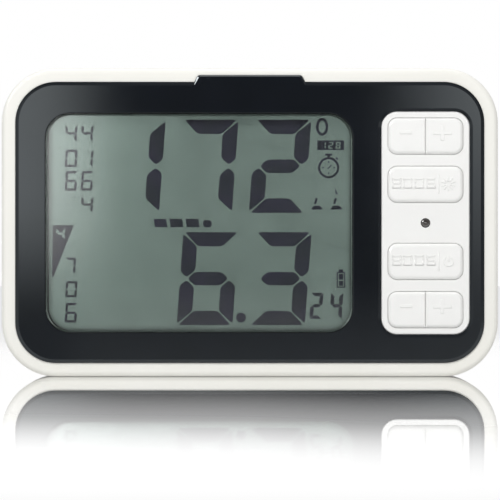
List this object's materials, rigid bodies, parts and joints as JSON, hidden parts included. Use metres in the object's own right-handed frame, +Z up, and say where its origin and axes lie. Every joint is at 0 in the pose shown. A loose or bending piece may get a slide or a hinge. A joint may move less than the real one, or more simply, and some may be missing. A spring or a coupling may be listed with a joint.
{
  "type": "sailing wind and compass display",
  "caption": "Sealed marine instrument display: white case, black bezel, large segment display window, side key panel, battery bay and tripod socket at the back.",
  "frame": {"origin": "middle of the object's footprint, on the surface that it stands on", "axes": "+Z up, +X to the right seen from the front, the face looks towards -Y"},
  "size_m": [0.1378, 0.027, 0.0857],
  "materials": {
    "case_white": "fine satin, moulded",
    "seal_rubber": "matt",
    "bezel_black": "high gloss",
    "lens_clear": "clear, hard coated",
    "foam_black": "foam",
    "panel_white": "fine satin",
    "key_white": "soft satin",
    "mat_silicone": "matt",
    "sensor_dark": "smoked, polished",
    "lcd_face": "satin polariser film",
    "lcd_glass": "polished",
    "frame_black": "satin",
    "guide_clear": "polished acrylic",
    "led_pale": "gloss",
    "zebra_rubber": "matt, striped",
    "board_green": "solder mask",
    "switch_metal": "pressed sheet",
    "chip_black": "matt epoxy",
    "ceramic_tan": "fired ceramic",
    "cell_sleeve": "plain shrink sleeve",
    "contact_nickel": "nickel plate",
    "screw_steel": "stainless",
    "insert_brass": "turned"
  },
  "bodies": {
    "case": {"front_case": "case_white", "rear_case": "case_white", "case_seal": "seal_rubber", "bezel": "bezel_black", "window_lens": "lens_clear", "window_gasket": "foam_black", "key_panel": "panel_white", "keypad_mat": "mat_silicone", "light_pipe": "sensor_dark", "light_sensor": "chip_black", "lcd_gasket": "foam_black", "lcd_polariser": "lcd_face", "lcd_front_glass": "lcd_glass", "lcd_rear_glass": "lcd_glass", "lcd_frame": "frame_black", "light_guide": "guide_clear", "reflector_sheet": "panel_white", "backlight_leds": "led_pale", "zebra_strip": "zebra_rubber", "main_board": "board_green", "key_switches": "switch_metal", "processor": "chip_black", "radio_module": "switch_metal", "gps_antenna": "ceramic_tan", "compass_sensor": "chip_black", "buzzer": "chip_black", "board_parts": "ceramic_tan", "battery_cells": "cell_sleeve", "battery_contacts": "contact_nickel", "battery_springs": "contact_nickel", "battery_door": "case_white", "door_seal": "seal_rubber", "door_pad": "foam_black", "door_screws": "screw_steel", "case_screws": "screw_steel", "board_screws": "screw_steel", "mount_insert": "insert_brass"},
    "upper_minus": {"key_upper_minus": "key_white", "plunger_upper_minus": "chip_black"},
    "upper_plus": {"key_upper_plus": "key_white", "plunger_upper_plus": "chip_black"},
    "upper_mode": {"key_upper_mode": "key_white", "plunger_upper_mode": "chip_black"},
    "lower_mode": {"key_lower_mode": "key_white", "plunger_lower_mode": "chip_black"},
    "lower_minus": {"key_lower_minus": "key_white", "plunger_lower_minus": "chip_black"},
    "lower_plus": {"key_lower_plus": "key_white", "plunger_lower_plus": "chip_black"}
  },
  "joints": [
    {"name": "press_upper_minus", "type": "slide", "parent": "case", "child": "upper_minus", "axis": [0, 1, 0], "range_m": [0, 0.0003], "stiffness_N_per_m": 600, "springref_m": -0.001},
    {"name": "press_upper_plus", "type": "slide", "parent": "case", "child": "upper_plus", "axis": [0, 1, 0], "range_m": [0, 0.0003], "stiffness_N_per_m": 600, "springref_m": -0.001},
    {"name": "press_upper_mode", "type": "slide", "parent": "case", "child": "upper_mode", "axis": [0, 1, 0], "range_m": [0, 0.0003], "stiffness_N_per_m": 600, "springref_m": -0.001},
    {"name": "press_lower_mode", "type": "slide", "parent": "case", "child": "lower_mode", "axis": [0, 1, 0], "range_m": [0, 0.0003], "stiffness_N_per_m": 600, "springref_m": -0.001},
    {"name": "press_lower_minus", "type": "slide", "parent": "case", "child": "lower_minus", "axis": [0, 1, 0], "range_m": [0, 0.0003], "stiffness_N_per_m": 600, "springref_m": -0.001},
    {"name": "press_lower_plus", "type": "slide", "parent": "case", "child": "lower_plus", "axis": [0, 1, 0], "range_m": [0, 0.0003], "stiffness_N_per_m": 600, "springref_m": -0.001}
  ]
}
